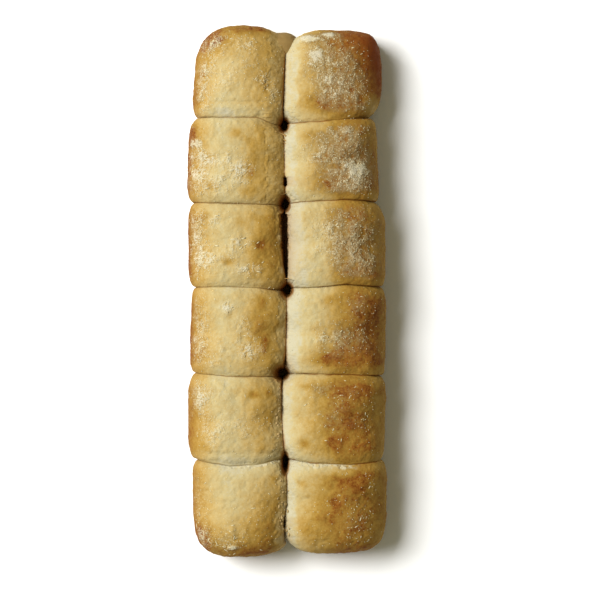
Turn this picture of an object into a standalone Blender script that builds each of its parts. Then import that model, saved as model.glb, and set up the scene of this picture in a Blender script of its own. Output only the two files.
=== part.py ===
"""Pull-apart bread: twelve soft floury rolls, proved and baked side by side in two columns of six.

The batch lies flat with its length along Y, its columns side by side along X and its crowns up.
Each roll is a pillow with a rounded crown and squarer sides. Neighbours in a column have fused
almost to the top and part in a tight crease. The two columns meet in a deeper valley, which
opens into a pit wherever four rolls meet and into a slit along the third pair of rolls.
"""

import bmesh
import bpy
import numpy as np
from mathutils import Vector

MM = 0.001

# Ends of the rolls along the length, from the far end of the batch to the near end.
LEFT_ENDS = np.array([159.0, 102.4, 52.1, 0.7, -51.2, -103.6, -160.3]) * MM
RIGHT_ENDS = np.array([156.4, 101.2, 53.4, 1.6, -50.7, -102.9, -158.3]) * MM
# Outer side of each roll, the seam between the two columns, and the crowns above the tray.
LEFT_SIDES = np.array([-56.0, -59.6, -59.1, -57.8, -59.4, -56.6]) * MM
RIGHT_SIDES = np.array([56.6, 54.6, 59.2, 59.2, 59.0, 59.6]) * MM
CENTRE_SEAM = np.array([-1.5, -1.2, -1.7, -0.4, -2.6, -0.7]) * MM
LEFT_HEIGHTS = np.array([43.6, 45.4, 44.8, 46.0, 45.2, 43.4]) * MM
RIGHT_HEIGHTS = np.array([43.0, 44.6, 45.8, 44.8, 45.6, 44.0]) * MM
# How far each roll is turned on the tray, counterclockwise from above.
LEFT_TURNS = np.radians([-3.0, -1.5, 0.5, -1.0, 0.5, 1.5])
RIGHT_TURNS = np.radians([1.0, 1.0, 0.5, -1.0, -1.0, 0.5])

# How far a roll reaches past a seam into its neighbour.
ROW_FUSE = 3.4 * MM
COLUMN_FUSE = 7.0 * MM

# The open slit between the third pair: its ends along Y, its walls at each, and its floor.
SLIT_ENDS = (45.0 * MM, 8.5 * MM)
SLIT_WALLS = ((-4.2 * MM, 0.3 * MM), (-1.2 * MM, 0.6 * MM))
SLIT_FLOOR = 12.0 * MM

# The pits where four rolls meet: the middle and half width of each along X and Y, then how far
# up each ring of a pit lies and how wide it is there, as a share of those half widths.
PIT_PLACES = np.array([[-1.5, 98.7], [-1.2, 51.9], [0.3, 0.3], [-2.9, -49.5], [-1.0, -102.9]]) * MM
PIT_HALF_WIDTHS = np.array([[3.0, 4.2], [3.0, 5.0], [3.6, 4.8], [4.2, 4.0], [2.2, 6.6]]) * MM
PIT_RINGS = ((9.0 * MM, 0.6), (31.0 * MM, 1.0), (37.0 * MM, 1.3), (60.0 * MM, 1.9))
PIT_SIDES = 12

# The crown stands off the middle of its roll, away from a free end of the batch.
CROWN_FROM_END = 2.5 * MM

# A pillow is widest at this height. Below it the side tucks under to a depth past the tray.
WAIST = 19.0 * MM
KEEL = 23.5 * MM

# Fullness of the crown towards each kind of side, where 2 is an ellipse and more is flatter.
CROWN_TO_SIDE = 2.05
CROWN_TO_SEAM = 5.0
CROWN_TO_END = 2.7
UNDERSIDE = 4.6

# Squareness of a pillow's corners in plan, where 2 is an ellipse and 8 nearly a rectangle.
# Each roll's outer corners towards the far end and towards the near end.
LEFT_FAR_CORNERS = np.array([2.6, 6.2, 6.2, 6.2, 5.6, 6.6])
LEFT_NEAR_CORNERS = np.array([6.2, 6.2, 5.2, 6.2, 4.4, 3.5])
RIGHT_FAR_CORNERS = np.array([4.8, 6.2, 4.6, 6.2, 4.6, 6.2])
RIGHT_NEAR_CORNERS = np.array([3.5, 6.2, 8.0, 6.2, 6.2, 4.3])
# The corners along the valley: at the far notch, round the five pits and at the near notch.
CORNERS_AT_VALLEY = np.array([2.1, 3.4, 3.4, 3.3, 3.3, 3.6, 2.85])
CORNER_AT_CROWN = 2.3

# Slow swells of hand-shaped dough, as a share of the radius, and how fast they turn.
SWELL_DEPTH = 0.02
SWELL_WAVES = np.array([[2.3, 1.1, 0.6], [-1.4, 2.6, 1.2], [0.9, -2.1, 2.4]])
SWELL_PHASES = np.array([1.0, 2.3, 3.9])

# Dough fused under the seams, inside the outline of the rolls, up to the floor of the pits.
CORE_INSET = 11.0 * MM
CORE_HEIGHT = 11.0 * MM
CORE_BEVEL = 3.0 * MM

# A low lobe of dough in the notch between the two rolls at the far end.
LOBE_PLACE = np.array([-2.1, 142.0, 13.0]) * MM
LOBE_HALF_SIZE = np.array([10.5, 13.5, 17.5]) * MM

# Grid cuts across each face of a roll and of the lobe, and the size of the cutting tools.
GRID_CUTS = 10
LOBE_CUTS = 5
CUT_DEPTH = 60.0 * MM
CUT_REACH = 300.0 * MM
CREASE_ANGLE = np.radians(50.0)
TINY = 1e-12

CRUST_COLOUR = (0.604, 0.423, 0.181, 1.0)
CRUST_ROUGHNESS = 0.85


def clear_scene():
    for thing in list(bpy.data.objects):
        bpy.data.objects.remove(thing, do_unlink=True)


def crust_material():
    material = bpy.data.materials.new("golden_floury_crust")
    material.use_nodes = True
    shader = material.node_tree.nodes["Principled BSDF"]
    shader.inputs["Base Color"].default_value = CRUST_COLOUR
    shader.inputs["Roughness"].default_value = CRUST_ROUGHNESS
    shader.inputs["Metallic"].default_value = 0.0
    return material


def ball_grid(name, cuts):
    """A cube divided into a grid and blown up to a unit ball, with even squares."""
    ball = bmesh.new()
    bmesh.ops.create_cube(ball, size=2.0)
    bmesh.ops.subdivide_edges(ball, edges=ball.edges[:], cuts=cuts, use_grid_fill=True)
    for vertex in ball.verts:
        spread = [np.tan(part * np.pi / 4.0) for part in vertex.co]
        vertex.co = Vector(spread).normalized()
    mesh = bpy.data.meshes.new(name)
    ball.to_mesh(mesh)
    ball.free()
    return mesh


def read_points(mesh):
    points = np.empty(len(mesh.vertices) * 3)
    mesh.vertices.foreach_get("co", points)
    return points.reshape(-1, 3)


def pillow(ways, roll):
    """Surface point of a roll in each direction from the middle of its waist.

    In plan it is a superellipse, whose power differs from corner to corner and falls towards
    the crown. Upwards it is another, whose power turns with the direction from the one for
    the roll's sides to the one for its ends. Slow sine waves make it uneven.
    """
    east = (ways[:, 0] > 0.0).astype(int)
    far = (ways[:, 1] > 0.0).astype(int)
    share = np.abs(ways) / np.where(ways > 0.0, roll["high"], roll["low"])
    corner = roll["corners"][east, far]
    plan_power = corner + (CORNER_AT_CROWN - corner) * np.clip(ways[:, 2], 0.0, 1.0) ** 2
    to_end = share[:, 1] ** 2 / (share[:, 0] ** 2 + share[:, 1] ** 2 + TINY)
    crown = CROWN_TO_SIDE + (roll["fullness"][far] - CROWN_TO_SIDE) * to_end
    power = np.where(ways[:, 2] > 0.0, crown, UNDERSIDE)
    plan = (share[:, 0] ** plan_power + share[:, 1] ** plan_power) ** (1.0 / plan_power)
    radius = (plan ** power + share[:, 2] ** power) ** (-1.0 / power)
    swell = np.sin(ways @ SWELL_WAVES.T + SWELL_PHASES * roll["phase"]).mean(axis=1)
    points = ways * (radius * (1.0 + SWELL_DEPTH * swell))[:, None]
    cosine, sine = np.cos(roll["turn"]), np.sin(roll["turn"])
    turn = np.array([[cosine, -sine, 0.0], [sine, cosine, 0.0], [0.0, 0.0, 1.0]])
    return roll["centre"] + points @ turn.T


def roll_sizes(column, row):
    """Place and sizes of one roll: its waist, its reaches below and above it, its powers."""
    side, ends, sides, heights, turns, far_corners, near_corners = column
    last = len(sides) - 1
    inner = CENTRE_SEAM[row] - side * COLUMN_FUSE
    west, east = sorted((inner, sides[row]))
    far = ends[row] + (ROW_FUSE if row > 0 else 0.0)
    near = ends[row + 1] - (ROW_FUSE if row < last else 0.0)
    from_end = CROWN_FROM_END * ((row == last) - (row == 0))
    centre = np.array([(west + east) / 2.0, (near + far) / 2.0 + from_end, WAIST])
    outer = [near_corners[row], far_corners[row]]
    valley = [CORNERS_AT_VALLEY[row + 1], CORNERS_AT_VALLEY[row]]
    return {
        "centre": centre,
        "low": np.array([centre[0] - west, centre[1] - near, KEEL]),
        "high": np.array([east - centre[0], far - centre[1], heights[row] - WAIST]),
        "corners": np.array([outer, valley] if side < 0 else [valley, outer]),
        "fullness": np.array([
            CROWN_TO_END if row == last else CROWN_TO_SEAM,
            CROWN_TO_END if row == 0 else CROWN_TO_SEAM,
        ]),
        "turn": turns[row],
        "phase": 1.0 + row + (side > 0) * len(sides),
    }


def dough_object(name, mesh, batch):
    thing = bpy.data.objects.new(name, mesh)
    batch.objects.link(thing)
    return thing


def add_rolls(batch):
    left = (-1, LEFT_ENDS, LEFT_SIDES, LEFT_HEIGHTS, LEFT_TURNS)
    right = (1, RIGHT_ENDS, RIGHT_SIDES, RIGHT_HEIGHTS, RIGHT_TURNS)
    columns = (
        left + (LEFT_FAR_CORNERS, LEFT_NEAR_CORNERS),
        right + (RIGHT_FAR_CORNERS, RIGHT_NEAR_CORNERS),
    )
    for column in columns:
        for row in range(len(column[2])):
            mesh = ball_grid("roll", GRID_CUTS)
            points = pillow(read_points(mesh), roll_sizes(column, row))
            mesh.vertices.foreach_set("co", points.ravel())
            dough_object("roll", mesh, batch)


def add_lobe(batch):
    mesh = ball_grid("lobe", LOBE_CUTS)
    points = read_points(mesh) * LOBE_HALF_SIZE + LOBE_PLACE
    mesh.vertices.foreach_set("co", points.ravel())
    dough_object("lobe", mesh, batch)


def box_mesh(name, low, high, bevel=0.0):
    """A box between two corners, with its edges bevelled where bevel isn't zero."""
    box = bmesh.new()
    bmesh.ops.create_cube(box, size=1.0)
    for vertex in box.verts:
        for axis in range(3):
            vertex.co[axis] = high[axis] if vertex.co[axis] > 0.0 else low[axis]
    if bevel:
        bmesh.ops.bevel(box, geom=box.edges[:], offset=bevel, segments=2, affect="EDGES")
    mesh = bpy.data.meshes.new(name)
    box.to_mesh(mesh)
    box.free()
    return mesh


def add_core(batch):
    """Fused dough below the seams. It starts below the tray line, where the base is cut flat."""
    low = (LEFT_SIDES.max() + CORE_INSET, RIGHT_ENDS.min() + CORE_INSET, -CORE_HEIGHT)
    high = (RIGHT_SIDES.min() - CORE_INSET, RIGHT_ENDS.max() - CORE_INSET, CORE_HEIGHT)
    dough_object("core", box_mesh("core", low, high, CORE_BEVEL), batch)


def slit_blade():
    """A tapered upright wedge, one wall pair at each end of the slit, from its floor up."""
    mesh = box_mesh("slit", (-1.0, -1.0, -1.0), (1.0, 1.0, 1.0))
    for vertex in mesh.vertices:
        east, far, top = (part > 0.0 for part in vertex.co)
        end = 0 if far else 1
        height = CUT_DEPTH if top else SLIT_FLOOR
        vertex.co = (SLIT_WALLS[end][int(east)], SLIT_ENDS[end], height)
    return mesh


def pit_plug(place, half_widths):
    """A closed stack of oval rings that widen upwards, from the pit's floor to past the crowns."""
    plug = bmesh.new()
    turns = np.arange(PIT_SIDES) * 2.0 * np.pi / PIT_SIDES
    rings = []
    for height, share in PIT_RINGS:
        across, along = share * half_widths
        rings.append([
            plug.verts.new((place[0] + across * np.cos(turn), place[1] + along * np.sin(turn), height))
            for turn in turns
        ])
    for lower, upper in zip(rings[:-1], rings[1:]):
        for side in range(PIT_SIDES):
            after = (side + 1) % PIT_SIDES
            plug.faces.new((lower[side], lower[after], upper[after], upper[side]))
    plug.faces.new(rings[0][::-1])
    plug.faces.new(rings[-1])
    mesh = bpy.data.meshes.new("pit")
    plug.to_mesh(mesh)
    plug.free()
    return mesh


def apply_boolean(body, operation, operands):
    """Run one Boolean with a collection on the body, keep its result, drop the operands."""
    cut = body.modifiers.new(operation.lower(), "BOOLEAN")
    cut.operation = operation
    cut.solver = "MANIFOLD"
    cut.operand_type = "COLLECTION"
    cut.collection = operands
    bpy.context.view_layer.update()
    seen = body.evaluated_get(bpy.context.evaluated_depsgraph_get())
    result = bpy.data.meshes.new_from_object(seen)
    body.modifiers.clear()
    body.data = result
    for piece in list(operands.objects):
        bpy.data.objects.remove(piece, do_unlink=True)
    bpy.data.collections.remove(operands)


def new_batch(name):
    batch = bpy.data.collections.new(name)
    bpy.context.scene.collection.children.link(batch)
    return batch


def fuse_dough():
    """Join rolls, lobe and core into one body, cut its base flat, open the slit and the pits."""
    dough = new_batch("dough")
    add_rolls(dough)
    add_lobe(dough)
    add_core(dough)
    bread = dough.objects[0]
    dough.objects.unlink(bread)
    bpy.context.scene.collection.objects.link(bread)
    bread.name = "bread"
    apply_boolean(bread, "UNION", dough)
    cuts = new_batch("cuts")
    tray = box_mesh("tray", (-CUT_REACH, -CUT_REACH, -CUT_DEPTH), (CUT_REACH, CUT_REACH, 0.0))
    dough_object("tray", tray, cuts)
    dough_object("slit", slit_blade(), cuts)
    for place, half_widths in zip(PIT_PLACES, PIT_HALF_WIDTHS):
        dough_object("pit", pit_plug(place, half_widths), cuts)
    apply_boolean(bread, "DIFFERENCE", cuts)
    return bread


def centre_on_origin(body):
    """Put the middle of the body's box over the origin, with its base left at zero height."""
    points = read_points(body.data)
    middle = (points.min(axis=0) + points.max(axis=0)) / 2.0
    middle[2] = 0.0
    body.data.vertices.foreach_set("co", (points - middle).ravel())
    body.data.update()


def main():
    clear_scene()
    bread = fuse_dough()
    centre_on_origin(bread)
    bread.data.materials.clear()
    bread.data.materials.append(crust_material())
    bread.data.shade_smooth()
    bread.data.set_sharp_from_angle(angle=CREASE_ANGLE)


main()
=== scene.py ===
"""Pull-apart bread: twelve soft floury rolls baked side by side, seen from straight above."""

import itertools
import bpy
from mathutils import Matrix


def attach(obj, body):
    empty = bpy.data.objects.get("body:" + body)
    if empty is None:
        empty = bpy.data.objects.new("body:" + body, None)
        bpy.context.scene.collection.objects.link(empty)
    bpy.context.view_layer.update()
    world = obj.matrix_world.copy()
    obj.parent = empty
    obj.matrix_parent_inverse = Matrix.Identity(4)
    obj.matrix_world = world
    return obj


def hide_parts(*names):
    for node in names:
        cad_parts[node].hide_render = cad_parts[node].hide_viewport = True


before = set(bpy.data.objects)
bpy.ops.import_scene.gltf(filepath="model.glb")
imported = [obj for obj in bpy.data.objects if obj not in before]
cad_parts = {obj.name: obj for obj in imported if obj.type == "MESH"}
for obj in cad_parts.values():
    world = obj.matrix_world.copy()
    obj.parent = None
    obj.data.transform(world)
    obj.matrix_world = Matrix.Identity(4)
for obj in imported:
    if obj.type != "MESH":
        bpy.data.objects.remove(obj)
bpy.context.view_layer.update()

from types import SimpleNamespace

import bpy
import numpy as np

# ----------------------------------------------------------------------
# The rolls: twelve balls of soft white dough, set nearly touching on a tray in two columns of
# six. They swelled into each other while proving and baking, so each is a pillow with a round
# crown, tight creases against its column and a valley towards the other column.

MM = 0.001
# Left column (-1) and right column (1), from the far end: Y of the ends and of the seams between
# the rolls, and X of the outer sides. Then X of the seam between the columns.
ENDS = {
    -1: np.array([159, 102.4, 52.1, 0.7, -51.2, -103.6, -160.3]) * MM,
    1: np.array([156.4, 101.2, 53.4, 1.6, -50.7, -102.9, -158.3]) * MM,
}
SIDES = {
    -1: np.array([-56, -59.6, -59.1, -57.8, -59.4, -56.6]) * MM,
    1: np.array([56.6, 54.6, 59.2, 59.2, 59, 59.6]) * MM,
}
CENTRE_SEAM = np.array([-1.5, -1.2, -1.7, -0.4, -2.6, -0.7]) * MM
ROWS = len(CENTRE_SEAM)
# Heights of the crowns, and how far each roll sits turned on the tray.
HEIGHTS = {
    -1: np.array([43.6, 45.4, 44.8, 46, 45.2, 43.4]) * MM,
    1: np.array([43, 44.6, 45.8, 44.8, 45.6, 44]) * MM,
}
TURNS = {
    -1: np.radians([-3, -1.5, 0.5, -1, 0.5, 1.5]),
    1: np.radians([-0.3, 1, 0.5, -1, -1, 0.5]),
}

# How far a roll reaches past its seams before it is parted from its neighbours, and how far the
# crown of an end roll sits back. A roll is widest at its waist, and below that its side curves
# in as if to a keel this far under the waist, which the tray cuts off.
ROW_FUSE = 3.4 * MM
COLUMN_FUSE = 7.0 * MM
CROWN_FROM_END = 2.5 * MM
WAIST = 19.0 * MM
KEEL = 23.5 * MM

# Powers of the curves, where 2 is an ellipse and more is squarer: from the crown down to a
# side, a seam and a free end, under the waist, and at each corner seen from above.
CROWN_TO_SIDE = 2.05
CROWN_TO_SEAM = 5.0
CROWN_TO_END = 2.7
UNDERSIDE = 4.6
FAR_CORNERS = {-1: (2.75, 4.4, 6.2, 6.2, 5.6, 6.6), 1: (4.6, 6.2, 3.9, 6.2, 5.6, 6.2)}
NEAR_CORNERS = {-1: (6.2, 6.2, 5.2, 6.2, 4.4, 3.3), 1: (2.7, 8.0, 8.0, 8.0, 6.2, 3.9)}
CORNERS_AT_VALLEY = (2.15, 3.4, 3.4, 3.3, 3.3, 3.6, 2.65)
FIRST_LEFT_CORNER = 2.4
CORNER_AT_CROWN = 2.3

# Slow swells, so that no roll is a perfect form: share of the radius, waves and phases.
SWELL_DEPTH = 0.02
SWELL_WAVES = np.array([[2.3, 1.1, 0.6], [-1.4, 2.6, 1.2], [0.9, -2.1, 2.4]])
SWELL_PHASES = np.array([1.0, 2.3, 3.9])
# Added to a divisor that may be nothing.
TINY = 1e-12


def roll_sizes(side, row):
    """One roll's waist centre, reaches, corner powers and turn, from the sizes above."""
    first, last = row == 0, row == ROWS - 1
    inner = CENTRE_SEAM[row] - side * COLUMN_FUSE
    west, east = sorted((inner, SIDES[side][row]))
    far = ENDS[side][row] + ROW_FUSE * (not first)
    near = ENDS[side][row + 1] - ROW_FUSE * (not last)
    from_end = CROWN_FROM_END * (int(last) - int(first))
    centre = np.array([(west + east) / 2, (near + far) / 2 + from_end, WAIST])
    outer = [NEAR_CORNERS[side][row], FAR_CORNERS[side][row]]
    far_valley = FIRST_LEFT_CORNER if first and side < 0 else CORNERS_AT_VALLEY[row]
    valley = [CORNERS_AT_VALLEY[row + 1], far_valley]
    turn = TURNS[side][row]
    return {
        "name": f"roll_{'right' if side > 0 else 'left'}_{row + 1}",
        "side": side,
        "row": row,
        "centre": centre,
        "low": np.array([centre[0] - west, centre[1] - near, KEEL]),
        "high": np.array([east - centre[0], far - centre[1], HEIGHTS[side][row] - WAIST]),
        "corners": np.array([outer, valley] if side < 0 else [valley, outer]),
        "fullness": np.array([
            CROWN_TO_END if last else CROWN_TO_SEAM,
            CROWN_TO_END if first else CROWN_TO_SEAM,
        ]),
        "turn": np.array([
            [np.cos(turn), -np.sin(turn), 0.0],
            [np.sin(turn), np.cos(turn), 0.0],
            [0.0, 0.0, 1.0],
        ]),
        "phase": 1.0 + row + int(side > 0) * ROWS,
    }


def roll_radius(ways, roll):
    """Distance from a roll's waist centre to its skin along each direction.

    Plan: (|x|/a)^p + (|y|/b)^p = 1, with p of the nearest corner, falling towards the crown.
    Upwards: plan^q + (|z|/c)^q = 1, with q turning from the sides' value to the ends'.
    Three sine waves over the direction swell it by up to SWELL_DEPTH of its radius.
    """
    east = (ways[:, 0] > 0).astype(int)
    far = (ways[:, 1] > 0).astype(int)
    share = np.abs(ways) / np.where(ways > 0, roll["high"], roll["low"])
    corner = roll["corners"][east, far]
    plan_power = corner + (CORNER_AT_CROWN - corner) * np.clip(ways[:, 2], 0, 1) ** 2
    to_end = share[:, 1] ** 2 / (share[:, 0] ** 2 + share[:, 1] ** 2 + TINY)
    crown = CROWN_TO_SIDE + (roll["fullness"][far] - CROWN_TO_SIDE) * to_end
    power = np.where(ways[:, 2] > 0, crown, UNDERSIDE)
    plan = (share[:, 0] ** plan_power + share[:, 1] ** plan_power) ** (1 / plan_power)
    radius = (plan ** power + share[:, 2] ** power) ** (-1 / power)
    swell = np.sin(ways @ SWELL_WAVES.T + SWELL_PHASES * roll["phase"]).mean(axis=1)
    return radius * (1 + SWELL_DEPTH * swell)


def unit(vectors):
    """Each vector over its length."""
    return vectors / np.linalg.norm(vectors, axis=1)[:, None]


def quads(*corners):
    """Faces of four corners, from one array for each corner."""
    return np.stack(corners, axis=-1).reshape(-1, 4)


# The skin is an even square grid over the crown, then a skirt down to the tray.
CAP_CELLS = 190
CAP_SLOPE = 1.48
SKIRT_ABOVE = 18
SKIRT_BELOW = 14


def roll_ways(roll):
    """Directions of a roll's grid points and the quads between them, with its base ring.

    Cap: direction of (s, t, 1) for s and t from -CAP_SLOPE to CAP_SLOPE. Skirt: each rim
    direction turns down to level, and then follows the tucked-in side down to the tray.
    """
    steps = np.linspace(-CAP_SLOPE, CAP_SLOPE, CAP_CELLS + 1)
    across, along = np.meshgrid(steps, steps, indexing="ij")
    cap = unit(np.stack([across, along, np.ones_like(across)], axis=-1).reshape(-1, 3))
    index = np.arange((CAP_CELLS + 1) ** 2).reshape(CAP_CELLS + 1, CAP_CELLS + 1)
    rim = np.concatenate([index[:-1, 0], index[-1, :-1], index[:0:-1, -1], index[0, :0:-1]])
    cap_faces = quads(index[:-1, :-1], index[1:, :-1], index[1:, 1:], index[:-1, 1:])
    flat = unit(cap[rim] * [1, 1, 0])
    start = np.arctan2(cap[rim, 2], np.linalg.norm(cap[rim, :2], axis=1))
    rings = []
    for step in range(1, SKIRT_ABOVE + 1):
        tilt = start * (1 - step / SKIRT_ABOVE)
        rings.append(flat * np.cos(tilt)[:, None] + np.sin(tilt)[:, None] * [0, 0, 1])
    level = flat * roll_radius(flat, roll)[:, None]
    for step in range(1, SKIRT_BELOW + 1):
        drop = WAIST * step / SKIRT_BELOW
        tuck = (1 - (drop / KEEL) ** UNDERSIDE) ** (1 / UNDERSIDE)
        rings.append(unit(level * tuck - [0, 0, drop]))
    ways = np.concatenate([cap] + rings)
    ring_start = np.arange(len(rings)) * len(rim) + len(cap)
    rows = np.concatenate([rim[None], ring_start[:, None] + np.arange(len(rim))[None]])
    after = np.roll(rows, -1, axis=1)
    skirt_faces = quads(rows[:-1], rows[1:], after[1:], after[:-1])
    return ways, np.concatenate([cap_faces, skirt_faces]), rows[-1]


ROLLS = [roll_sizes(side, row) for side in (-1, 1) for row in range(ROWS)]
for roll in ROLLS:
    ways, roll["faces"], roll["base"] = roll_ways(roll)
    roll["points"] = roll["centre"] + (ways * roll_radius(ways, roll)[:, None]) @ roll["turn"].T
everything = np.concatenate([roll["points"] for roll in ROLLS])
# The part's box is centred over its origin, and so is every piece here when it is made.
MIDDLE = (everything.min(axis=0) + everything.max(axis=0)) / 2 * [1, 1, 0]

# Where neighbours meet. Dough fuses where it touches, and the skins roll over into a crease.
# How far each seam in a column wanders towards the far end, at four stations across it, in mm.
STATIONS = {-1: (-54, -34, -18, -6), 1: (3, 18, 36, 53)}
SEAM_DRIFT = {
    -1: ((0.6, 0.5, 0.6, -3.7), (0.3, -0.3, -0.7, -1.1), (1.2, 1.5, 0.9, -0.6),
         (1.9, 0.0, -0.2, -0.1), (2.6, -1.0, -0.3, 2.5)),
    1: ((-1.4, -0.8, 0.9, 1.5), (-1.1, -0.2, 0.7, 0.0), (-0.1, 0.6, 2.1, 0.8),
        (1.2, 0.8, 0.5, 0.0), (2.1, 0.0, -1.0, 0.6)),
}
# The valley from the far end to the near end: Y, X of its bottom and half its gap, in mm.
VALLEY = np.array([
    (156.3, -0.6, 0), (147.3, -0.9, 0), (126.3, -1.8, 0), (107.1, -2.7, 0), (90.3, -1.8, 0),
    (68.7, -1.2, 0), (67.2, -1.2, 0.7), (62.7, -1.1, 0.8), (61.2, -1, 0.1), (48.3, -1.4, 0.4),
    (46.6, -1.9, 0.5), (45.3, -1.9, 2), (27.3, -1.4, 1.7), (13.5, -0.8, 1.2), (9.3, -0.4, 0.8),
    (5.5, -0.2, 0.2), (-5.7, -0.1, 0), (-35.7, -0.7, 0), (-42.9, -1.2, 0.5), (-46.1, -1.9, 0.8),
    (-56.1, -3.3, 0.3), (-63.3, -3.4, 0), (-71.7, -3.3, 0.2), (-76.7, -3.1, 0), (-92.7, -1.8, 0),
    (-113.7, 0, 0.1), (-125.7, -0.2, 0), (-133.5, -1.2, 0), (-135.9, -1.8, 0.45),
    (-141.3, -1.8, 0.5), (-143.1, -1.8, 0), (-144.9, -1.7, 0.35), (-149.7, -1.5, 0.5),
    (-152.7, -0.3, 0.2),
])[::-1] * MM
# Pits where four rolls meet: X and Y of the middle, half widths along X and Y, in mm. Each
# widens upwards by the shares of those half widths that it has at these heights. Distances from
# a pit are in its half widths: the skin moves out as far as PIT_REACH, its rays run to
# RAY_REACH, and NO_PIT stands for none near.
PITS = np.array([
    (-1.5, 98.7, 3.0, 4.2), (-1.2, 51.9, 3.0, 5.0), (0.3, 0.3, 3.6, 4.8),
    (-2.9, -49.5, 4.2, 4.0), (-1.0, -102.9, 2.2, 6.6),
]) * MM
PIT_HEIGHTS = np.array([9.0, 20.0, 28.0, 33.0, 38.0, 60.0]) * MM
PIT_SHARES = (0.35, 0.55, 0.80, 1.00, 1.35, 2.20)
PIT_LIP_POWER = 5
PIT_LEAN = 0.15
PIT_WAVER = 0.09
PIT_REACH = 3
RAY_REACH = 4
NO_PIT = 9.0
# The valley's gap is open above this floor, given as Y and height. It opens over SLIT_RISE and
# as half of it grows to OPEN_GAP, with ragged sides. Below the floor the walls overlap.
SLIT_FLOOR = np.array([(-6, 27), (4, 21), (48, 21), (54, 27)]) * MM
SLIT_RISE = 5 * MM
OPEN_GAP = 0.8 * MM
RAGGEDNESS = 0.35
# Radii of the lips that skin rolls over at the valley, left and right, and at the seams, and
# how far the fused walls overlap below them. The last seam is the tightest.
VALLEY_LIPS = {-1: 0.8 * MM, 1: 1.8 * MM}
VALLEY_OVERLAPS = {-1: 0.35 * MM, 1: 0.60 * MM}
SEAM_LIP = 0.50 * MM
SEAM_OVERLAP = 0.20 * MM
LAST_SEAM = ROWS - 1
LAST_SEAM_LIP = 0.6 * SEAM_LIP
LAST_SEAM_OVERLAP = 0.35 * MM


def scatter(cells, seed):
    """A number from 0 to 1 for every whole-numbered cell, by mixing the bits of its place.

    The large numbers have no meaning but that they mix bits well.
    """
    mixed = cells.astype(np.uint32) * np.array([73856093, 19349663, 83492791], np.uint32)
    value = mixed[..., 0] ^ mixed[..., 1] ^ mixed[..., 2] ^ np.uint32(seed * 7919 + 12345)
    for shift, factor in ((16, 0x7FEB352D), (15, 0x846CA68B)):
        value = (value ^ (value >> np.uint32(shift))) * np.uint32(factor)
    value = value ^ (value >> np.uint32(16))
    return value / 2.0**32


def noise(points, size, seed):
    """Smooth noise from -1 to 1: random values at cell corners a size apart, eased between."""
    cell = np.floor(points / size)
    part = points / size - cell
    ease = part**3 * (part * (part * 6 - 15) + 10)
    cell = cell.astype(np.int64)
    total = np.zeros(len(points))
    for corner in itertools.product((0, 1), repeat=3):
        weight = np.where(corner, ease, 1 - ease).prod(axis=1)
        total += weight * scatter(cell + corner, seed)
    return total * 2 - 1


def ramp(value, start, end):
    """Smooth step from 0 at start to 1 at end."""
    part = np.clip((value - start) / (end - start), 0, 1)
    return part * part * (3 - 2 * part)


def seam_line(x, side, boundary):
    """Y of the seam past a boundary's number of rolls, at each X: its drift and a fine wander."""
    stations, drifts = np.array(STATIONS[side]), np.array(SEAM_DRIFT[side][boundary - 1])
    drift = np.interp(x, stations * MM, drifts * MM)
    own_y, own_z = np.full_like(x, boundary * 31 * MM), np.full_like(x, side * 17 * MM)
    path = np.stack([x, own_y, own_z], axis=1)
    wander = 0.28 * MM * noise(path, 5 * MM, 41) + 0.14 * MM * noise(path, 2 * MM, 43)
    return ENDS[side][boundary] + drift + wander


def hold_back(value, wall, lip):
    """Keep a value below a wall, turning over a rounded lip instead of a sharp edge."""
    past = value - wall
    return wall + (past - np.sqrt(past**2 + lip**2)) / 2


def part_rolls(points, roll):
    """Bend a roll to the seams round it, and hold its skin back from seams and valley.

    The bend moves the skin with each seam's drift, in full at the seam and not at all in the
    roll's middle. Then X is held back at the valley, whose gap is ragged and open only above
    the slit's floor, and Y at the seams. Returns the bent points, the held ones, and the line
    of each seam by the way it lies, 1 towards the far end and -1 towards the near one.
    """
    side, row = roll["side"], roll["row"]
    x, y, z = points.T
    reach = np.where(y > roll["centre"][1], roll["high"][1], roll["low"][1])
    to_end = np.clip(np.abs(y - roll["centre"][1]) / reach, 0, 1) ** 2
    seams = {}
    for boundary, way in ((row, 1), (row + 1, -1)):
        if 0 < boundary < ROWS:
            line = seam_line(x, side, boundary)
            seams[way] = line
            drift = line - ENDS[side][boundary]
            y = y + drift * to_end * (way * (points[:, 1] - roll["centre"][1]) > 0)
    bottom = np.interp(y, VALLEY[:, 0], VALLEY[:, 1])
    half = np.interp(y, VALLEY[:, 0], VALLEY[:, 2])
    to_valley = np.clip(-side * (x - roll["centre"][0]) / roll["high"][0], 0, 1) ** 2
    x = x + (bottom - CENTRE_SEAM[row]) * to_valley
    bent = np.stack([x, y, z], axis=1)

    ragged = 1 + RAGGEDNESS * noise(bent, 1.6 * MM, 71 + side)
    wide = ramp(half, 0.0, OPEN_GAP)
    slit_floor = np.interp(y, SLIT_FLOOR[:, 0], SLIT_FLOOR[:, 1])
    clear = wide * ramp(z - slit_floor, 0, SLIT_RISE)
    gap = half * ragged * clear - VALLEY_OVERLAPS[side] * (1 - clear)
    lip = VALLEY_LIPS[side] * (1 + 0.5 * wide)
    x = -side * hold_back(-side * x, -side * bottom - gap, lip)
    for way, line in seams.items():
        last = row + (way < 0) == LAST_SEAM
        overlap, lip = (LAST_SEAM_OVERLAP, LAST_SEAM_LIP) if last else (SEAM_OVERLAP, SEAM_LIP)
        y = way * hold_back(way * y, way * line + overlap, lip)
    return bent, np.stack([x, y, z], axis=1), seams


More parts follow.
